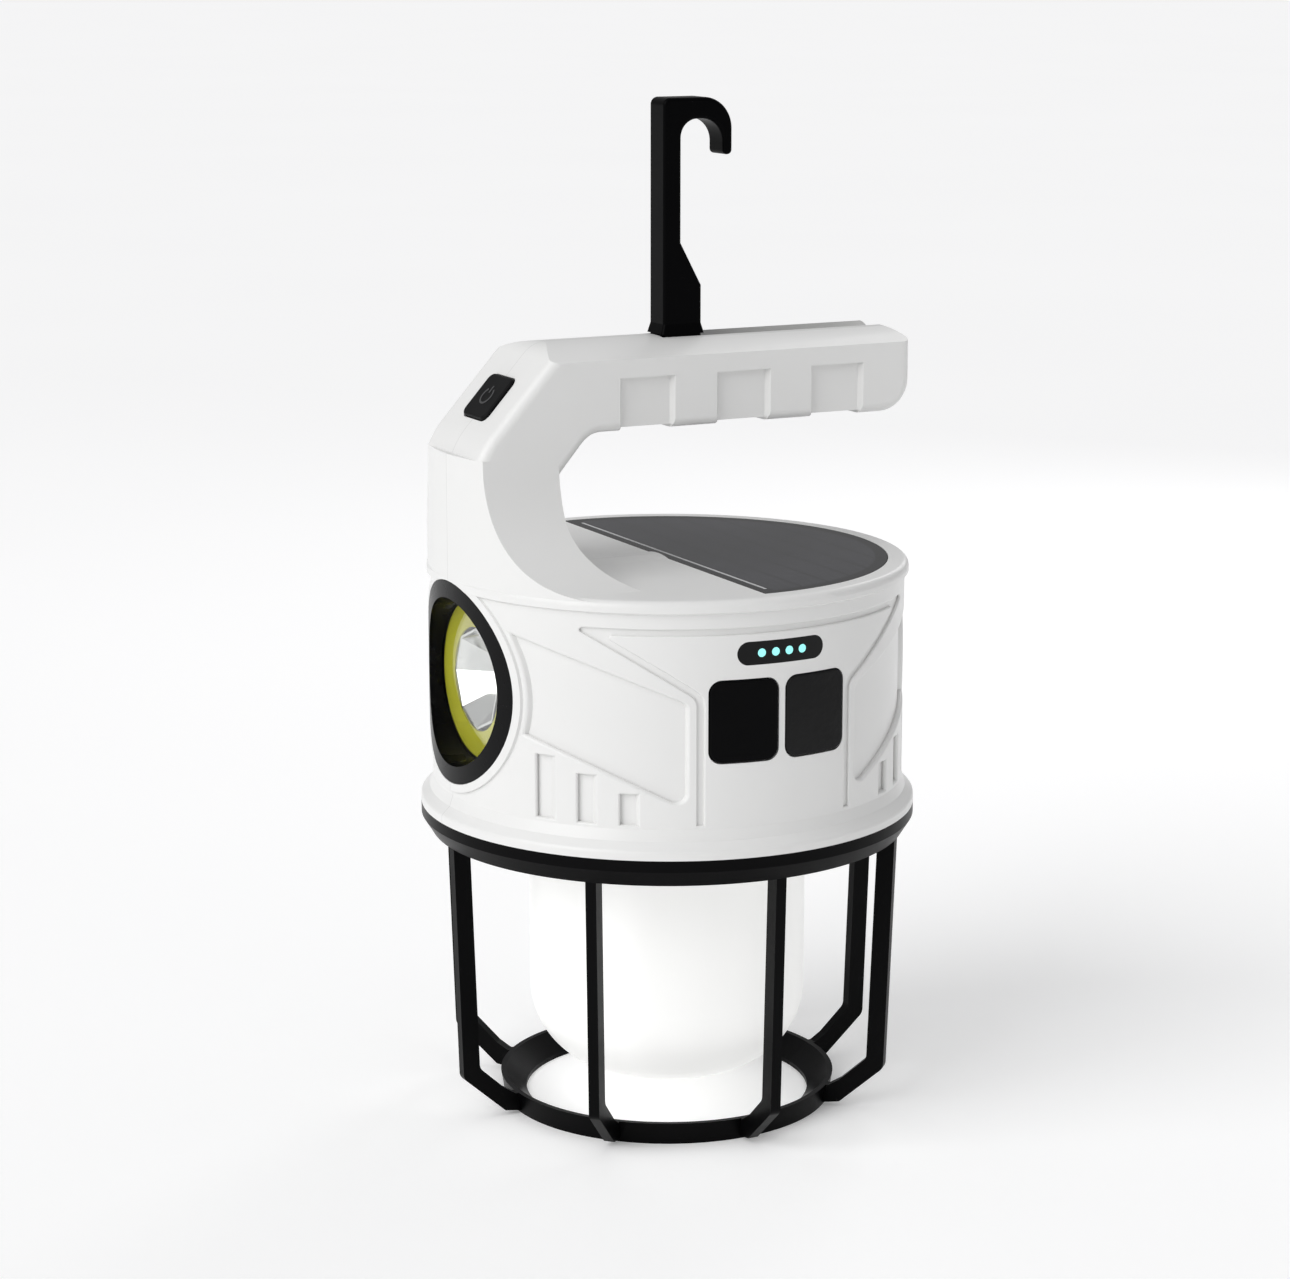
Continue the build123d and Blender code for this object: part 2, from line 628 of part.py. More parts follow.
# ---- power button and its switch -----------------------------------------------------------------
button_skirt = 1.1
button_flange = 1.1                         # keeps the button in, all round under the slope's wall
stem_r = 1.8
switch_size = 6.0
switch_body_height = 3.4
stem_end = wall + 0.3 + button_skirt + 0.5
with BuildPart() as power_button:
    with BuildSketch(button_plane.offset(-wall - 0.4)):
        RectangleRounded(button_length, button_width, 1.8)
    extrude(amount=wall + 0.4 + button_proud)
    fillet(power_button.faces().sort_by(lambda f: f.center().X * -slope_drop + f.center().Z * slope_run)[-1]
           .edges(), 0.6)
    with BuildSketch(button_plane.offset(-wall - 0.3)):
        RectangleRounded(button_length + 2 * button_flange, button_width + 2 * button_flange, 2)
    extrude(amount=-button_skirt)
    with BuildSketch(button_plane.offset(-stem_end)):
        Circle(stem_r)
    extrude(amount=0.6)
save(power_button, "power_button")

with BuildPart() as tactile_switch:
    with BuildSketch(button_plane.offset(-switch_depth)):
        Rectangle(switch_size, switch_size)
    extrude(amount=switch_body_height)
    with BuildSketch(button_plane.offset(-switch_depth)):
        Circle(stem_r - 0.1)
    extrude(amount=switch_depth - stem_end - button_travel - 0.05)
save(tactile_switch, "tactile_switch")

with BuildPart() as switch_board:
    with BuildSketch(button_plane.offset(-switch_depth)):
        RectangleRounded(switch_board_length, 2 * (arm_half_width - wall - switch_board_margin), 1)
    extrude(amount=-board_thickness)
save(switch_board, "switch_board")

# ---- solar panel ---------------------------------------------------------------------------------
solar_backing_thickness = 1.0
solar_cell_thickness = 0.3
solar_border = 2.2
cell_strip = 7.0
cell_strip_gap = 0.5
cell_strip_count = 7
busbar_width = 0.7
solar_z = deck_z - solar_thickness


def half_disc(radius, chord_x, low_z, thickness):
    """A disc cut off at chord_x, the part on its +X side kept."""
    with BuildPart() as disc:
        with BuildSketch(Plane.XY.offset(low_z)):
            Circle(radius)
            with Locations((chord_x, 0)):
                Rectangle(FAR, FAR, align=(Align.MAX, Align.CENTER), mode=Mode.SUBTRACT)
        extrude(amount=thickness)
    return disc.part


with BuildPart() as solar_backing:
    add(half_disc(solar_r, solar_chord_x, solar_z, solar_backing_thickness))
save(solar_backing, "solar_backing")

with BuildPart() as solar_cells:
    cells_x = solar_chord_x + solar_border + busbar_width + cell_strip_gap
    add(half_disc(solar_r - solar_border, cells_x, solar_z + solar_backing_thickness, solar_cell_thickness))
    with BuildSketch(Plane.XY.offset(solar_z)):
        for n in range(1, cell_strip_count):
            with Locations((cells_x + n * (cell_strip + cell_strip_gap) - cell_strip_gap, 0)):
                Rectangle(cell_strip_gap, FAR, align=(Align.MIN, Align.CENTER))
    extrude(amount=solar_thickness, mode=Mode.SUBTRACT)
save(solar_cells, "solar_cells")

with BuildPart() as solar_busbar:
    with BuildSketch(Plane.XY.offset(solar_z + solar_backing_thickness)):
        with Locations((solar_chord_x + solar_border, 0)):
            Rectangle(busbar_width, 2 * (solar_r - 2 * solar_border), align=(Align.MIN, Align.CENTER))
    extrude(amount=solar_cell_thickness)
save(solar_busbar, "solar_busbar")

with BuildPart() as solar_cover:
    cover_low_z = solar_z + solar_backing_thickness + solar_cell_thickness
    add(half_disc(solar_r, solar_chord_x, cover_low_z, deck_z - cover_low_z))
save(solar_cover, "solar_cover")

# ---- torch, built outwards along its own axis; distances are from the lantern's axis -------------
lens_x = cob_distance + 0.1
board_x = cob_distance - 0.4
cup_x = board_x - 1.0
cup_r = 19.5
cob_board_r = bezel_opening_r + 0.3
spot_x = board_x - reflector_depth
spot_board_r = 12.0
spot_led_size = 3.4
reflector_foot_r = 3.6
reflector_wall = 0.6


def turned(outer, inner, start, length):
    """A ring or disc on the torch's axis, start from the lantern's axis and length long."""
    with BuildPart() as ring:
        with BuildSketch(torch_plane.offset(start)):
            Circle(outer)
            if inner:
                Circle(inner, mode=Mode.SUBTRACT)
        extrude(amount=length)
    return ring.part


with BuildPart() as torch_bezel:
    add(turned(bezel_r, 0, cup_x, FAR))
    with BuildSketch(Plane.XY):
        Circle(front_r)
    extrude(amount=FAR, mode=Mode.INTERSECT)
    with BuildSketch(torch_plane.offset(lens_x + lens_thickness)):
        Circle(bezel_opening_r - 0.6)
    with BuildSketch(torch_plane.offset(front_r)):
        Circle(bezel_opening_r)
    loft(mode=Mode.SUBTRACT)
    add(turned(cob_board_r + 0.3, 0, 0, lens_x + lens_thickness), mode=Mode.SUBTRACT)
save(torch_bezel, "torch_bezel")

with BuildPart() as torch_lens:
    add(turned(cob_board_r, 0, lens_x, lens_thickness))
save(torch_lens, "torch_lens")

with BuildPart() as cob_ring:
    add(turned(cob_r, cob_r - cob_width, board_x, cob_distance - board_x))
save(cob_ring, "cob_ring")

with BuildPart() as cob_board:
    add(turned(cob_board_r, cob_r - cob_width, cup_x, board_x - cup_x))
save(cob_board, "cob_board")

with BuildPart() as torch_cup:
    add(turned(cup_r, 0, spot_x - 4, cup_x - spot_x + 4))
    add(turned(cob_board_r - 1.7, 0, spot_x - board_thickness, FAR), mode=Mode.SUBTRACT)
save(torch_cup, "torch_cup")

with BuildPart() as spot_board:
    add(turned(spot_board_r, 0, spot_x - board_thickness, board_thickness))
save(spot_board, "spot_board")

with BuildPart() as spot_led:
    with BuildSketch(torch_plane.offset(spot_x)):
        Rectangle(spot_led_size, spot_led_size)
    extrude(amount=0.8)
save(spot_led, "spot_led")

reflector_rim_r = cob_r - cob_width - 0.1
with BuildPart() as torch_reflector:
    with BuildSketch(torch_plane.offset(spot_x)):
        RegularPolygon(reflector_foot_r, reflector_facets)
    with BuildSketch(torch_plane.offset(cob_distance)):
        RegularPolygon(reflector_rim_r, reflector_facets)
    loft()
    with BuildSketch(torch_plane.offset(spot_x)):
        RegularPolygon(reflector_foot_r - reflector_wall, reflector_facets)
    with BuildSketch(torch_plane.offset(cob_distance)):
        RegularPolygon(reflector_rim_r - reflector_wall, reflector_facets)
    loft(mode=Mode.SUBTRACT)
save(torch_reflector, "torch_reflector")

# ---- socket covers, sockets, charge indicator and the main board ---------------------------------
for side, centre_x in zip(("left", "right"), cover_centres):
    with BuildPart() as usb_cover:
        with BuildSketch(Plane.XZ):
            with Locations((centre_x, edge_z + cover_z)):
                RectangleRounded(cover_width, cover_height, cover_corner_r)
        extrude(amount=FAR)
        with BuildSketch(Plane.XY):
            Circle(barrel_r + cover_proud)
            Circle(barrel_r + cover_proud - cover_thickness, mode=Mode.SUBTRACT)
        extrude(amount=FAR, mode=Mode.INTERSECT)
        fillet(usb_cover.faces().filter_by(GeomType.CYLINDER).sort_by(lambda f: f.center().Y)[0].edges(),
               cover_edge_r)
    save(usb_cover, f"usb_cover_{side}")

port_length = barrel_r - cover_thickness + board_y - port_setback
with BuildPart() as usb_a_port:
    with BuildSketch(board_plane):
        with Locations((cover_centres[0], edge_z + cover_z)):
            RectangleRounded(*usb_a_size, 0.6)
    extrude(amount=port_length)
    with BuildSketch(board_plane.offset(1.5)):
        with Locations((cover_centres[0], edge_z + cover_z)):
            Rectangle(usb_a_size[0] - 0.8, usb_a_size[1] - 0.8)
        with Locations((cover_centres[0], edge_z + cover_z + 0.9)):
            Rectangle(usb_a_size[0] - 2, 1.8, mode=Mode.SUBTRACT)
    extrude(amount=port_length, mode=Mode.SUBTRACT)
save(usb_a_port, "usb_a_port")

with BuildPart() as usb_c_port:
    with BuildSketch(board_plane):
        with Locations((cover_centres[1], edge_z + cover_z)):
            SlotOverall(*usb_c_size)
    extrude(amount=port_length)
    with BuildSketch(board_plane.offset(1.5)):
        with Locations((cover_centres[1], edge_z + cover_z)):
            SlotOverall(usb_c_size[0] - 0.7, usb_c_size[1] - 0.7)
            Rectangle(usb_c_size[0] - 2.4, 0.7, mode=Mode.SUBTRACT)
    extrude(amount=port_length, mode=Mode.SUBTRACT)
save(usb_c_port, "usb_c_port")

with BuildPart() as main_board:
    with BuildSketch(board_plane):
        with Locations((0, edge_z + 30)):
            RectangleRounded(board_width, board_height, 1.5)
        with Locations(*board_screw_places):
            Circle(screw_r + 0.1, mode=Mode.SUBTRACT)
    extrude(amount=-board_thickness)
save(main_board, "main_board")

with BuildPart() as board_screws:
    with BuildSketch(board_plane.offset(-board_thickness)):
        with Locations(*board_screw_places):
            Circle(screw_head_r - 0.4)
    extrude(amount=-1.3)
    with BuildSketch(board_plane.offset(-board_thickness)):
        with Locations(*board_screw_places):
            Circle(screw_r)
    extrude(amount=board_thickness + 6)
save(board_screws, "board_screws")

indicator_places = [((n - 1.5) * indicator_pitch, edge_z + indicator_z) for n in range(4)]
with BuildPart() as indicator_window:
    add(relief(indicator_outline.sketch, window_thickness))
    Cylinder(barrel_r, FAR * 2, mode=Mode.INTERSECT)
    with BuildSketch(Plane.XZ):
        with Locations(*indicator_places):
            Circle(indicator_dot_r)
    extrude(amount=FAR, mode=Mode.SUBTRACT)
save(indicator_window, "indicator_window")

with BuildPart() as light_guides:
    with BuildSketch(board_plane.offset(0.8)):
        with Locations(*indicator_places):
            Circle(indicator_dot_r)
    extrude(amount=FAR)
    Cylinder(barrel_r, FAR * 2, mode=Mode.INTERSECT)
save(light_guides, "light_guides")

with BuildPart() as indicator_leds:
    with BuildSketch(board_plane):
        with Locations(*indicator_places):
            Rectangle(1.6, 1.6)
    extrude(amount=0.8)
save(indicator_leds, "indicator_leds")

# ---- base plate, battery -------------------------------------------------------------------------
with BuildPart() as base_plate:
    with BuildSketch(Plane.XY.offset(edge_z)):
        Circle(inner_r - 0.1)
        Circle(wire_hole_r, mode=Mode.SUBTRACT)
        with base_screw_places:
            Circle(screw_r + 0.1, mode=Mode.SUBTRACT)
    extrude(amount=base_thickness)
save(base_plate, "base_plate")

cell_z = base_z + 1.5 + cell_r + 0.1
cell_places = [(n * cell_pitch, cell_z) for n in (-1, 0, 1)]
with BuildPart() as battery_cells:
    with BuildSketch(Plane.XZ):
        with Locations(*cell_places):
            Circle(cell_r)
    extrude(amount=cell_length / 2, both=True)
save(battery_cells, "battery_cells")

with BuildPart() as battery_holder:
    with BuildSketch(Plane.XY.offset(base_z)):
        RectangleRounded(2 * (cell_pitch + cell_r + 1.3), cell_length + 2.6, 2)
    extrude(amount=battery_holder_height)
    with BuildSketch(Plane.XZ):
        with Locations(*cell_places):
            Circle(cell_r + 0.1)
    extrude(amount=cell_length / 2 + 0.1, both=True, mode=Mode.SUBTRACT)
save(battery_holder, "battery_holder")

# ---- guard: one moulding, written as its collar, its ribs and its foot ring ----------------------
ledge_r = 41.5
ledge_height = 2.4
flange_r = 44.0
with BuildPart() as guard_collar:
    add(round_body([(flange_r + 0.2, edge_z), (collar_r, edge_z), (collar_r, edge_z - collar_lip),
                    (collar_r - collar_taper, collar_z), (ledge_r, collar_z),
                    (ledge_r, collar_z + ledge_height), (flange_r + 0.2, collar_z + ledge_height)]))
    with BuildSketch(Plane.XY.offset(collar_z)):
        with base_screw_places:
            Circle(screw_r + 0.1)
    extrude(amount=collar_height, mode=Mode.SUBTRACT)
    with BuildSketch(Plane.XY.offset(collar_z)):
        with base_screw_places:
            Circle(screw_head_r + 0.15)
    extrude(amount=ledge_height, mode=Mode.SUBTRACT)
save(guard_collar, "guard_collar")

rib_r = collar_r - collar_taper
foot_ring_outline = [(0, 0), (foot_ring_r - foot_ring_draft, 0), (foot_ring_r, foot_ring_height),
                     (0, foot_ring_height)]
with BuildPart() as one_rib:
    with BuildSketch(Plane.XZ) as rib_outline:
        with BuildLine():
            Polyline((rib_r, collar_z), (rib_r - rib_lean, rib_bend_z), (foot_ring_r + 3.2, 1.3),
                     (foot_ring_r - 3, 0.4), (foot_ring_r - 3, foot_ring_height),
                     (foot_ring_r + 0.6, foot_ring_height), (foot_ring_r + 3.2, foot_ring_height + 1.6),
                     (rib_r - rib_lean - rib_depth, rib_bend_z + 1.9), (rib_r - rib_depth, collar_z),
                     close=True)
        make_face()
        fillet(rib_outline.vertices().filter_by(lambda v: abs(v.Y - rib_bend_z) < 2.5), 2.2)
    extrude(amount=rib_width / 2, both=True)
    add(round_body(foot_ring_outline), mode=Mode.SUBTRACT)

with BuildPart() as guard_ribs:
    with PolarLocations(0, rib_count):
        add(one_rib.part)
save(guard_ribs, "guard_ribs")

with BuildPart() as guard_foot_ring:
    add(round_body([(foot_ring_r - foot_ring_draft, 0), (foot_ring_r, foot_ring_height),
                    (foot_ring_r - 1.2, foot_ring_height),
                    (foot_ring_r - foot_ring_draft - foot_ring_sole, 1.0),
                    (foot_ring_r - foot_ring_draft - foot_ring_sole, 0)]))
save(guard_foot_ring, "guard_foot_ring")

with BuildPart() as base_screws:
    with BuildSketch(Plane.XY.offset(collar_z + ledge_height)):
        with base_screw_places:
            Circle(screw_head_r)
    extrude(amount=-screw_head_height)
    with BuildSketch(Plane.XY.offset(collar_z + ledge_height)):
        with base_screw_places:
            Circle(screw_r)
    extrude(amount=collar_height - ledge_height + base_screw_reach)
    with BuildSketch(Plane.XY.offset(collar_z + ledge_height - screw_head_height)):
        with base_screw_places:
            Rectangle(driver_span, driver_width)
            Rectangle(driver_width, driver_span)
    extrude(amount=driver_depth, mode=Mode.SUBTRACT)
save(base_screws, "base_screws")

# ---- lamp under the housing ----------------------------------------------------------------------
seal_thickness = 0.6
flange_thickness = 1.4
flange_z = collar_z + ledge_height + seal_thickness
spreader_z = flange_z + flange_thickness
lamp_board_thickness = 1.2
lamp_led_height = 0.7
lamp_led_rings = ((0.74, 16), (0.42, 8))    # share of the diffuser's radius, and how many


def dome(radius, corner_r, low_z, high_z):
    """A cylinder closed below with a rounded rim."""
    with BuildPart() as form:
        with BuildSketch(Plane.XZ):
            with BuildLine():
                Polyline((0, high_z), (radius, high_z), (radius, low_z + corner_r))
                RadiusArc((radius, low_z + corner_r), (radius - corner_r, low_z), corner_r)
                Polyline((radius - corner_r, low_z), (0, low_z), (0, high_z))
            make_face()
        revolve(axis=Axis.Z)
    return form.part


with BuildPart() as lamp_diffuser:
    add(dome(diffuser_r, diffuser_corner_r, diffuser_clearance, spreader_z))
    with BuildSketch(Plane.XY.offset(flange_z)):
        Circle(flange_r)
    extrude(amount=flange_thickness)
    add(dome(diffuser_r - diffuser_wall, diffuser_corner_r - diffuser_wall,
             diffuser_clearance + diffuser_wall, spreader_z), mode=Mode.SUBTRACT)
save(lamp_diffuser, "lamp_diffuser")

with BuildPart() as lamp_seal:
    with BuildSketch(Plane.XY.offset(collar_z + ledge_height)):
        Circle(flange_r)
        Circle(ledge_r + 0.3, mode=Mode.SUBTRACT)
    extrude(amount=seal_thickness)
save(lamp_seal, "lamp_seal")

with BuildPart() as heat_spreader:
    with BuildSketch(Plane.XY.offset(spreader_z)):
        Circle(flange_r)
        Circle(wire_hole_r, mode=Mode.SUBTRACT)
    extrude(amount=edge_z - spreader_z)
save(heat_spreader, "heat_spreader")

with BuildPart() as lamp_board:
    with BuildSketch(Plane.XY.offset(spreader_z)):
        Circle(diffuser_r - diffuser_wall - 1)
    extrude(amount=-lamp_board_thickness)
save(lamp_board, "lamp_board")

with BuildPart() as lamp_leds:
    with BuildSketch(Plane.XY.offset(spreader_z - lamp_board_thickness)):
        for share, count in lamp_led_rings:
            with PolarLocations(share * diffuser_r, count):
                Rectangle(lamp_led_size, lamp_led_size)
    extrude(amount=-lamp_led_height)
save(lamp_leds, "lamp_leds")
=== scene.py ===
"""Looks of the solar lantern: materials, fine pieces, floor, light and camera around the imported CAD."""
import json
from math import cos, pi, radians, sin

import bmesh
import bpy
from mathutils import Matrix, Vector


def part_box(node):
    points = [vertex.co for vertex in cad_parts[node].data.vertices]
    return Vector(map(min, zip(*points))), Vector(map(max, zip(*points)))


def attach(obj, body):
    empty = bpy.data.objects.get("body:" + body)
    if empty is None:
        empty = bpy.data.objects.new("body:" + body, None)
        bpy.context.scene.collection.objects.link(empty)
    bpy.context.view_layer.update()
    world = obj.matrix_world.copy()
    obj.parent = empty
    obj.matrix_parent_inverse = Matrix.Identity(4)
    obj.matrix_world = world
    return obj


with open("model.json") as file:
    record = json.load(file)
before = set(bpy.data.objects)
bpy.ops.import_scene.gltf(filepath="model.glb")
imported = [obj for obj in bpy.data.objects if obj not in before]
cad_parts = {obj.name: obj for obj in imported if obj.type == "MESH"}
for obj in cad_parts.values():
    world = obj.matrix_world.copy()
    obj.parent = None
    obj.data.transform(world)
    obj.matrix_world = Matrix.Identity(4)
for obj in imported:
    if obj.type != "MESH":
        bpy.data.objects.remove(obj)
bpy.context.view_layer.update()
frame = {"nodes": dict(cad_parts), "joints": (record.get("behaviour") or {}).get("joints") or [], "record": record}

MM = 0.001
NODES = frame["nodes"]


def corner(node, which, axis):
    """One coordinate of a node's lowest (0) or highest (1) corner."""
    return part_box(node)[which]["xyz".index(axis)]


# ---- camera ---------------------------------------------------------------------------------------
CAMERA_AZIMUTH = radians(-27.3)
CAMERA_ELEVATION = 0.2586                      # radians, seen from the housing's lower edge
CAMERA_DISTANCE = 0.74359
CAMERA_PITCH, CAMERA_YAW = 0.212, -0.0069      # radians, down and to the left
CAMERA_LENS, CAMERA_SENSOR = 92.38, 36         # millimetres
EDGE_Z = corner("base_plate", 0, "z")          # the housing's lower edge


def make_camera():
    """A long lens in front of the torch's left side, a little above the housing, looking slightly down."""
    turn = Matrix.Rotation(CAMERA_AZIMUTH, 3, "Z")
    place = CAMERA_DISTANCE * (turn @ Vector((0, -cos(CAMERA_ELEVATION), sin(CAMERA_ELEVATION))))
    forward = turn @ Vector((sin(CAMERA_YAW) * cos(CAMERA_PITCH), cos(CAMERA_YAW) * cos(CAMERA_PITCH),
                             -sin(CAMERA_PITCH)))
    right = turn @ Vector((cos(CAMERA_YAW), -sin(CAMERA_YAW), 0))
    up = right.cross(forward)
    data = bpy.data.cameras.new("camera")
    data.sensor_width = CAMERA_SENSOR
    data.lens = CAMERA_LENS
    data.clip_start = 0.01
    camera = bpy.data.objects.new("camera", data)
    axes = Matrix((right, up, -forward)).transposed()
    camera.matrix_world = Matrix.Translation(place + Vector((0, 0, EDGE_Z))) @ axes.to_4x4()
    bpy.context.scene.collection.objects.link(camera)
    bpy.context.scene.camera = camera


make_camera()


# ---- materials --------------------------------------------------------------------------------------
def shader(name):
    """A new node material; returns it with its node tree and its principled shader."""
    mat = bpy.data.materials.new(name)
    mat.use_nodes = True
    tree = mat.node_tree
    return mat, tree, tree.nodes["Principled BSDF"]


def object_coordinates(tree):
    """Position in the object's own space, which is the lantern's frame."""
    return tree.nodes.new("ShaderNodeTexCoord").outputs["Object"]


def noise(tree, scale, detail=3.0, roughness=0.5, stretch=None):
    """Noise in object space; scale is in cycles per metre, stretch scales the axes."""
    node = tree.nodes.new("ShaderNodeTexNoise")
    node.inputs["Scale"].default_value = scale
    node.inputs["Detail"].default_value = detail
    node.inputs["Roughness"].default_value = roughness
    vector = object_coordinates(tree)
    if stretch:
        mapping = tree.nodes.new("ShaderNodeMapping")
        mapping.inputs["Scale"].default_value = stretch
        tree.links.new(vector, mapping.inputs["Vector"])
        vector = mapping.outputs["Vector"]
    tree.links.new(vector, node.inputs["Vector"])
    return node.outputs["Fac"]


def ramp(tree, fac, stops):
    """A colour ramp over fac; stops are (position, colour) pairs."""
    node = tree.nodes.new("ShaderNodeValToRGB")
    elements = node.color_ramp.elements
    while len(elements) < len(stops):
        elements.new(0.5)
    for element, (position, colour) in zip(elements, stops):
        element.position = position
        element.color = (*colour, 1)
    tree.links.new(fac, node.inputs["Fac"])
    return node.outputs["Color"]


def spread(tree, fac, low, high):
    """fac mapped from 0..1 to low..high."""
    node = tree.nodes.new("ShaderNodeMapRange")
    node.inputs["To Min"].default_value = low
    node.inputs["To Max"].default_value = high
    tree.links.new(fac, node.inputs["Value"])
    return node.outputs["Result"]


def bump(tree, height, strength, distance):
    """A normal that height lifts by up to distance metres."""
    node = tree.nodes.new("ShaderNodeBump")
    node.inputs["Strength"].default_value = strength
    node.inputs["Distance"].default_value = distance
    tree.links.new(height, node.inputs["Height"])
    return node.outputs["Normal"]


def plastic(name, colour, tint=0.96, roughness=(0.3, 0.42), grain=0.00002, grain_scale=2600, coat=0.0,
            shine=0.5):
    """Moulded plastic: a fine moulded grain, faint flow marks in its colour, uneven gloss."""
    mat, tree, bsdf = shader(name)
    flow = noise(tree, 38, detail=4, stretch=(1, 1, 0.5))
    darker = tuple(c * tint for c in colour)
    tree.links.new(ramp(tree, flow, [(0.3, darker), (0.7, colour)]), bsdf.inputs["Base Color"])
    tree.links.new(spread(tree, noise(tree, 160, detail=5), *roughness), bsdf.inputs["Roughness"])
    tree.links.new(bump(tree, noise(tree, grain_scale, detail=2), 0.35, grain), bsdf.inputs["Normal"])
    bsdf.inputs["Specular IOR Level"].default_value = shine
    if coat:
        bsdf.inputs["Coat Weight"].default_value = coat
        bsdf.inputs["Coat Roughness"].default_value = 0.08
    return mat


def metal(name, colour, roughness=(0.22, 0.36), brush=(1, 1, 1), scale=900):
    """Metal with fine brushed or cast texture along the axes that brush leaves unstretched."""
    mat, tree, bsdf = shader(name)
    lines = noise(tree, scale, detail=6, roughness=0.65, stretch=brush)
    darker = tuple(c * 0.86 for c in colour)
    tree.links.new(ramp(tree, lines, [(0.25, darker), (0.75, colour)]), bsdf.inputs["Base Color"])
    tree.links.new(spread(tree, lines, *roughness), bsdf.inputs["Roughness"])
    tree.links.new(bump(tree, lines, 0.2, 0.00002), bsdf.inputs["Normal"])
    bsdf.inputs["Metallic"].default_value = 1.0
    return mat


def glow(mat, colour, strength):
    """Make a finished material give off light as well."""
    bsdf = mat.node_tree.nodes["Principled BSDF"]
    bsdf.inputs["Emission Color"].default_value = (*colour, 1)
    bsdf.inputs["Emission Strength"].default_value = strength
    return mat


def clear(name, colour, roughness=0.03):
    """Clear moulded lens: transmissive, with faint unevenness."""
    mat, tree, bsdf = shader(name)
    bsdf.inputs["Base Color"].default_value = (*colour, 1)
    bsdf.inputs["Transmission Weight"].default_value = 1.0
    bsdf.inputs["IOR"].default_value = 1.46
    tree.links.new(spread(tree, noise(tree, 220, detail=3), roughness, roughness + 0.03),
                   bsdf.inputs["Roughness"])
    return mat


def math_node(tree, operation, first, second=0.0):
    """One sum on two values, each a socket or a number."""
    node = tree.nodes.new("ShaderNodeMath")
    node.operation = operation
    for socket, value in zip(node.inputs, (first, second)):
        if isinstance(value, (int, float)):
            socket.default_value = value
        else:
            tree.links.new(value, socket)
    return node.outputs["Value"]


def mix_colour(tree, fac, first, second):
    """Two colours mixed by fac; each is a socket or an (r, g, b)."""
    node = tree.nodes.new("ShaderNodeMix")
    node.data_type = "RGBA"
    tree.links.new(fac, node.inputs["Factor"])
    for socket, value in ((node.inputs[6], first), (node.inputs[7], second)):
        if isinstance(value, tuple):
            socket.default_value = (*value, 1)
        else:
            tree.links.new(value, socket)
    return node.outputs[2]


def band(tree, value, low, high):
    """1 where value lies between low and high, else 0."""
    return math_node(tree, "MULTIPLY", math_node(tree, "GREATER_THAN", value, low),
                     math_node(tree, "LESS_THAN", value, high))


def position(tree):
    """Object-space x, y and z sockets."""
    split = tree.nodes.new("ShaderNodeSeparateXYZ")
    tree.links.new(object_coordinates(tree), split.inputs["Vector"])
    return split.outputs


PARTING_HALF_WIDTH = 0.08 * MM                     # of the line where the housing's halves meet


def housing_plastic():
    """White moulded shell: faint flow marks, a hairline parting line where the two halves meet."""
    mat = plastic("housing_plastic", (0.80, 0.80, 0.79), tint=0.985, roughness=(0.30, 0.42), coat=0.1,
                  shine=0.4)
    tree = mat.node_tree
    bsdf = tree.nodes["Principled BSDF"]
    plain = bsdf.inputs["Base Color"].links[0].from_socket
    seam = band(tree, position(tree)["Y"], -PARTING_HALF_WIDTH, PARTING_HALF_WIDTH)
    tree.links.new(mix_colour(tree, seam, plain, (0.62, 0.62, 0.61)), bsdf.inputs["Base Color"])
    return mat


CELL_PITCH, CELL_GAP = 7.5 * MM, 0.5 * MM          # strips of silicon
FINGER_PITCH, FINGER_WIDTH = 1.2 * MM, 0.2 * MM    # printed fingers across them


def solar_laminate():
    """Dark glossy laminate with a black border, cell strips, their fine fingers and one silver line."""
    mat, tree, bsdf = shader("solar_laminate")
    x, y, _ = position(tree)
    line = band(tree, x, corner("solar_busbar", 0, "x"), corner("solar_busbar", 1, "x"))
    line = math_node(tree, "MULTIPLY", line,
                     band(tree, y, corner("solar_busbar", 0, "y"), corner("solar_busbar", 1, "y")))
    cells_x = corner("solar_cells", 0, "x")
    across = math_node(tree, "SUBTRACT", x, cells_x)
    strip = math_node(tree, "MODULO", across, CELL_PITCH)
    cell = math_node(tree, "MULTIPLY", math_node(tree, "GREATER_THAN", across, 0.0),
                     math_node(tree, "LESS_THAN", strip, CELL_PITCH - CELL_GAP))
    radius_squared = math_node(tree, "ADD", math_node(tree, "MULTIPLY", x, x),
                               math_node(tree, "MULTIPLY", y, y))
    cells_r = corner("solar_cells", 1, "x")
    cell = math_node(tree, "MULTIPLY", cell, math_node(tree, "LESS_THAN", radius_squared, cells_r ** 2))
    finger = math_node(tree, "LESS_THAN", math_node(tree, "PINGPONG", y, FINGER_PITCH / 2),
                       FINGER_WIDTH / 2)
    silicon = ramp(tree, noise(tree, 55, detail=5),
                   [(0.3, (0.012, 0.012, 0.016)), (0.7, (0.022, 0.022, 0.028))])
    silicon = mix_colour(tree, math_node(tree, "MULTIPLY", finger, 0.35), silicon, (0.16, 0.16, 0.17))
    colour = mix_colour(tree, cell, (0.004, 0.004, 0.005), silicon)
    tree.links.new(mix_colour(tree, line, colour, (0.55, 0.55, 0.56)), bsdf.inputs["Base Color"])
    tree.links.new(spread(tree, noise(tree, 120, detail=4), 0.06, 0.12), bsdf.inputs["Roughness"])
    tree.links.new(bump(tree, noise(tree, 40, detail=1), 0.2, 0.00002), bsdf.inputs["Normal"])
    bsdf.inputs["Specular IOR Level"].default_value = 0.05
    return mat


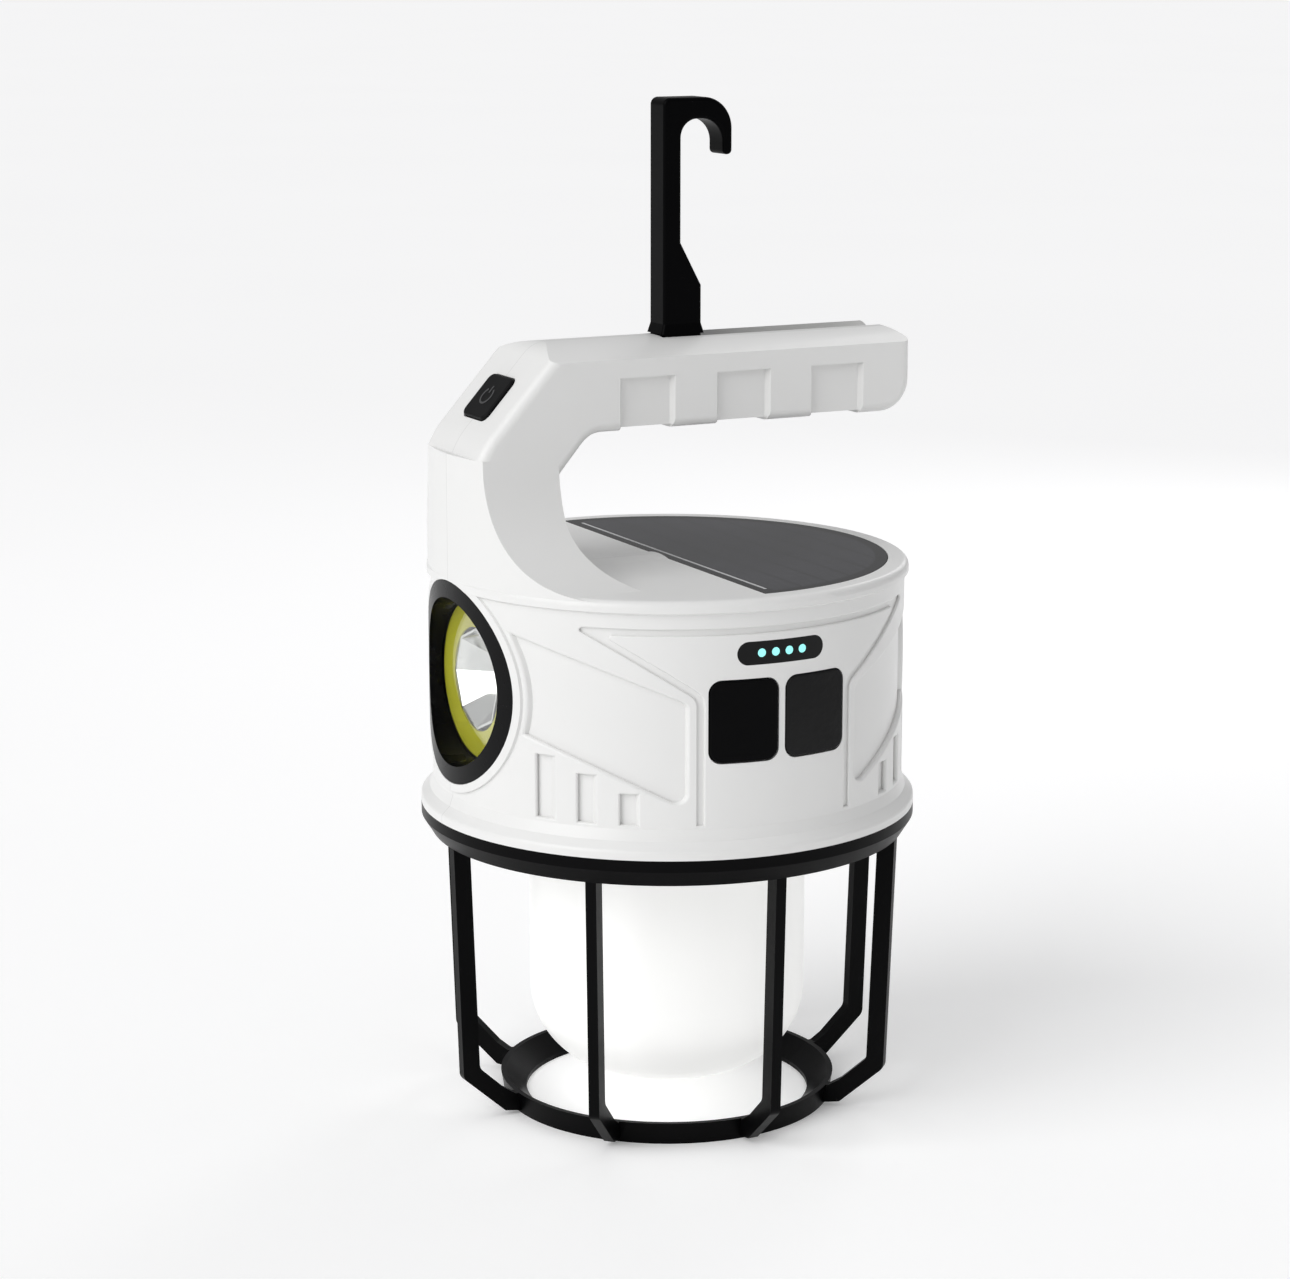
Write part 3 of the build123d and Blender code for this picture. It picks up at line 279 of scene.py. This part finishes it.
WHITE = housing_plastic()
LINER = plastic("liner_plastic", (0.70, 0.70, 0.69), roughness=(0.4, 0.5))
GUARD = plastic("guard_plastic", (0.0022, 0.0022, 0.0025), tint=0.7, roughness=(0.28, 0.40), grain=0.00004,
                shine=0.06)
HOOK = plastic("hook_plastic", (0.0015, 0.0015, 0.0018), tint=0.7, roughness=(0.26, 0.38), grain=0.00002,
               shine=0.03)
BEZEL = plastic("bezel_plastic", (0.003, 0.003, 0.0034), tint=0.7, roughness=(0.22, 0.34), shine=0.12)
RUBBER_LEFT = plastic("cover_rubber_black", (0.0025, 0.0025, 0.0028), tint=0.8, roughness=(0.5, 0.65),
                      shine=0.05)
RUBBER_RIGHT = plastic("cover_rubber_charcoal", (0.012, 0.012, 0.0125), tint=0.35, roughness=(0.45, 0.7),
                       grain=0.0004, grain_scale=700, shine=0.14)
BUTTON = plastic("button_rubber", (0.003, 0.003, 0.0034), tint=0.7, roughness=(0.4, 0.55), shine=0.1)
ICON = plastic("icon_print", (0.05, 0.05, 0.052), tint=0.8, roughness=(0.4, 0.5))
WINDOW = plastic("window_gloss", (0.002, 0.002, 0.0025), tint=0.8, roughness=(0.08, 0.14), shine=0.2)
CYAN = glow(plastic("indicator_light", (0.30, 0.80, 0.76)), (0.20, 0.62, 0.60), 0.75)
SOLAR = solar_laminate()
CELL = plastic("solar_cell", (0.010, 0.010, 0.018), tint=0.6, roughness=(0.15, 0.3))
COB = glow(plastic("cob_phosphor", (0.66, 0.64, 0.03), tint=0.9, roughness=(0.5, 0.65), grain=0.0001),
           (0.70, 0.68, 0.06), 0.12)
# Painted glow: the frosted diffuser gives off a faint light of its own, though it is no lamp.
FROSTED_PAINTED_GLOW = glow(plastic("frosted_diffuser_painted_glow", (0.86, 0.86, 0.85), tint=0.99, roughness=(0.35, 0.5)),
               (1.0, 1.0, 0.98), 0.30)
SEAL = plastic("seal_rubber", (0.01, 0.01, 0.01), roughness=(0.6, 0.8))
INNER = plastic("inner_plastic", (0.02, 0.02, 0.02), roughness=(0.5, 0.65))
BOARD = plastic("board_mask", (0.02, 0.12, 0.05), tint=0.7, roughness=(0.3, 0.5))
SLEEVE = plastic("cell_sleeve", (0.05, 0.14, 0.40), roughness=(0.2, 0.35))
LED = glow(plastic("led_resin", (0.85, 0.80, 0.45), roughness=(0.3, 0.4)), (1.0, 0.95, 0.7), 0.3)
CHROME = metal("reflector_chrome", (0.82, 0.82, 0.80), roughness=(0.05, 0.12), scale=300)
ALUMINIUM = metal("board_aluminium", (0.75, 0.75, 0.75), brush=(1, 1, 12))
STEEL = metal("plated_steel", (0.66, 0.66, 0.67))
RIM_METAL = metal("anodised_rim", (0.16, 0.16, 0.16), roughness=(0.35, 0.5), brush=(1, 1, 12))
LENS = clear("lens_clear", (0.97, 0.98, 0.98))

FINISHES = {
    "housing_white": WHITE, "channel_white": LINER, "guard_black": GUARD, "hook_black": HOOK,
    "bezel_black": BEZEL, "clear_lens": LENS, "cob_yellow": COB, "board_aluminium": ALUMINIUM,
    "reflector_chrome": CHROME, "led_white": LED, "inner_black": INNER, "cover_left_black": RUBBER_LEFT,
    "cover_right_charcoal": RUBBER_RIGHT, "button_rubber": BUTTON, "port_steel": STEEL,
    "board_green": BOARD, "window_black": WINDOW, "indicator_cyan": CYAN, "solar_glass": SOLAR,
    "solar_cell": CELL, "busbar_silver": ALUMINIUM, "solar_back": INNER, "cell_sleeve": SLEEVE,
    "frosted": FROSTED_PAINTED_GLOW, "seal_rubber": SEAL, "screw_steel": STEEL, "switch_metal": STEEL,
}
FINISH_OF = {"cob_board": RIM_METAL}          # nodes that differ from the rest of their slot
SLOT_OF = {part["node"]: part["material_slot"] for part in frame["record"]["subparts"]}
FACETED = {"torch_reflector"}                 # left with flat facets
SMOOTH_BELOW = radians(24)                    # edges that turn more than this stay sharp
ROUNDED_ABOVE = radians(35)                   # edges that turn more than this are rounded
SOFT_EDGES = {"guard_ribs": 0.45 * MM, "guard_collar": 0.4 * MM, "guard_foot_ring": 0.35 * MM,
              "torch_bezel": 0.3 * MM, "solar_cover": 0.12 * MM, "hook_channel": 0.2 * MM,
              "indicator_window": 0.15 * MM}


def soften_edges(piece, width):
    """Round a moulded piece's hard edges."""
    rounding = piece.modifiers.new("soft_edges", "BEVEL")
    rounding.width = width
    rounding.segments = 2
    rounding.limit_method = "ANGLE"
    rounding.angle_limit = ROUNDED_ABOVE
    rounding.harden_normals = True


def dress_cad_nodes():
    """Give every CAD node its finish, and shade its curved faces smooth."""
    for name, piece in NODES.items():
        piece.data.materials.clear()
        piece.data.materials.append(FINISH_OF.get(name, FINISHES[SLOT_OF[name]]))
        if name not in FACETED:
            piece.data.shade_smooth()
            piece.data.set_sharp_from_angle(angle=SMOOTH_BELOW)
        if name in SOFT_EDGES:
            soften_edges(piece, SOFT_EDGES[name])


dress_cad_nodes()


# ---- fine pieces ----------------------------------------------------------------------------------------
def link_piece(name, mesh, material, body):
    """Put a finished mesh into the scene as a piece that rides on a body."""
    mesh.materials.append(material)
    piece = bpy.data.objects.new(name, mesh)
    bpy.context.scene.collection.objects.link(piece)
    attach(piece, body)


def strip(form, path, normal, width, height):
    """A raised strip along an open path, a little narrower at its top, square to normal."""
    rings = []
    for i, point in enumerate(path):
        along = (path[min(i + 1, len(path) - 1)] - path[max(i - 1, 0)]).normalized()
        side = normal.cross(along) * (width / 2)
        rings.append([form.verts.new(point + s * side + lift * normal)
                      for s, lift in ((-1, 0), (1, 0), (0.8, height), (-0.8, height))])
    for a, b in zip(rings, rings[1:]):
        for k in range(4):
            form.faces.new((a[k], a[(k + 1) % 4], b[(k + 1) % 4], b[k]))
    form.faces.new(rings[0][::-1])
    form.faces.new(rings[-1])


def finished_mesh(name, form):
    """Turn the form into a mesh with its faces all outwards."""
    bmesh.ops.recalc_face_normals(form, faces=form.faces)
    mesh = bpy.data.meshes.new(name)
    form.to_mesh(mesh)
    form.free()
    return mesh


ICON_RADIUS, ICON_LINE, ICON_HEIGHT = 2.0 * MM, 0.5 * MM, 0.12 * MM
ICON_SINK = 0.02 * MM                          # into the button's face
ICON_MOUTH = radians(38)                       # half of the ring's gap
ICON_STEPS = 28
ICON_BAR = (0.35, 1.25)                        # the bar's ends, as shares of the ring's radius


def make_power_icon():
    """The usual power sign, a broken ring and a short bar, raised a little on the button's face."""
    press = next(j for j in frame["joints"] if j["name"] == "power_button_press")
    normal = -Vector(press["axis"]).normalized()
    corners = [v.co for v in NODES["power_button"].data.vertices]
    face_height = max(c.dot(normal) for c in corners)
    face = [c for c in corners if c.dot(normal) > face_height - 0.01 * MM]
    centre = sum(face, Vector()) / len(face)
    across = Vector((0, 1, 0))
    up = normal.cross(across).normalized()
    up = up if up.z > 0 else -up
    form = bmesh.new()
    turns = [ICON_MOUTH + n / ICON_STEPS * (2 * pi - 2 * ICON_MOUTH) for n in range(ICON_STEPS + 1)]
    centre = centre - ICON_SINK * normal
    ring = [centre + ICON_RADIUS * (sin(t) * across + cos(t) * up) for t in turns]
    bar = [centre + ICON_RADIUS * r * up for r in ICON_BAR]
    for path in (ring, bar):
        strip(form, path, normal, ICON_LINE, ICON_HEIGHT)
    link_piece("power_icon", finished_mesh("power_icon", form), ICON, "power_button")


make_power_icon()


# ---- studio -------------------------------------------------------------------------------------------
LIGHT_TARGET = (0, 0, 0.11)
KEY_PLACE, KEY_POWER, KEY_SPREAD = (-1.0, -0.22, 0.75), 1.7, radians(50)
RIM_PLACE, RIM_POWER, RIM_SIZE = (0.55, 0.45, 0.5), 0.7, (0.2, 0.6)
SURROUND_STRENGTH = 0.60
FLOOR_HALF_SIZE = 40.0
FLOOR_GLOW = 0.17


def lamp(name, kind, place, power):
    """A light at place that points at the lantern's middle."""
    data = bpy.data.lights.new(name, kind)
    data.energy = power
    light = bpy.data.objects.new(name, data)
    light.location = place
    light.rotation_euler = (Vector(LIGHT_TARGET) - Vector(place)).to_track_quat("-Z", "Y").to_euler()
    bpy.context.scene.collection.objects.link(light)
    return data


def make_surround():
    """A pale surround, brighter overhead than at the horizon, behind which a plain backdrop shows."""
    world = bpy.data.worlds.new("surround")
    world.use_nodes = True
    tree = world.node_tree
    split = tree.nodes.new("ShaderNodeSeparateXYZ")
    tree.links.new(tree.nodes.new("ShaderNodeTexCoord").outputs["Generated"], split.inputs["Vector"])
    sky = ramp(tree, split.outputs["Z"], [(0.0, (0.60, 0.60, 0.60)), (0.35, (0.70, 0.70, 0.71)),
                                          (0.9, (0.95, 0.95, 0.96))])
    tree.links.new(sky, tree.nodes["Background"].inputs["Color"])
    tree.nodes["Background"].inputs["Strength"].default_value = SURROUND_STRENGTH
    backdrop = tree.nodes.new("ShaderNodeBackground")
    backdrop.inputs["Color"].default_value = (0.90, 0.90, 0.90, 1)
    seen = tree.nodes.new("ShaderNodeMixShader")
    tree.links.new(tree.nodes.new("ShaderNodeLightPath").outputs["Is Camera Ray"], seen.inputs["Fac"])
    tree.links.new(tree.nodes["Background"].outputs["Background"], seen.inputs[1])
    tree.links.new(backdrop.outputs["Background"], seen.inputs[2])
    tree.links.new(seen.outputs["Shader"], tree.nodes["World Output"].inputs["Surface"])
    bpy.context.scene.world = world


def make_floor():
    """A plain pale floor that runs out past everything that the camera sees, lit a little from within."""
    mesh = bpy.data.meshes.new("floor")
    form = bmesh.new()
    bmesh.ops.create_grid(form, x_segments=1, y_segments=1, size=FLOOR_HALF_SIZE)
    form.to_mesh(mesh)
    form.free()
    floor = bpy.data.objects.new("floor", mesh)
    bpy.context.scene.collection.objects.link(floor)
    mat, tree, bsdf = shader("floor_paint")
    paint = ramp(tree, noise(tree, 3, detail=2), [(0.3, (0.93, 0.93, 0.93)), (0.7, (0.94, 0.94, 0.94))])
    tree.links.new(paint, bsdf.inputs["Base Color"])
    bsdf.inputs["Roughness"].default_value = 1.0
    bsdf.inputs["Specular IOR Level"].default_value = 0.0
    glow(mat, (1.0, 1.0, 1.0), FLOOR_GLOW)
    mesh.materials.append(mat)


def make_studio():
    """Soft light from the torch's side, and a weak strip behind for the black parts' edges."""
    make_floor()
    make_surround()
    key = lamp("key_light", "SUN", KEY_PLACE, KEY_POWER)
    key.angle = KEY_SPREAD
    rim = lamp("rim_light", "AREA", RIM_PLACE, RIM_POWER)
    rim.shape = "RECTANGLE"
    rim.size, rim.size_y = RIM_SIZE
    bpy.context.scene.view_settings.view_transform = "Standard"


make_studio()
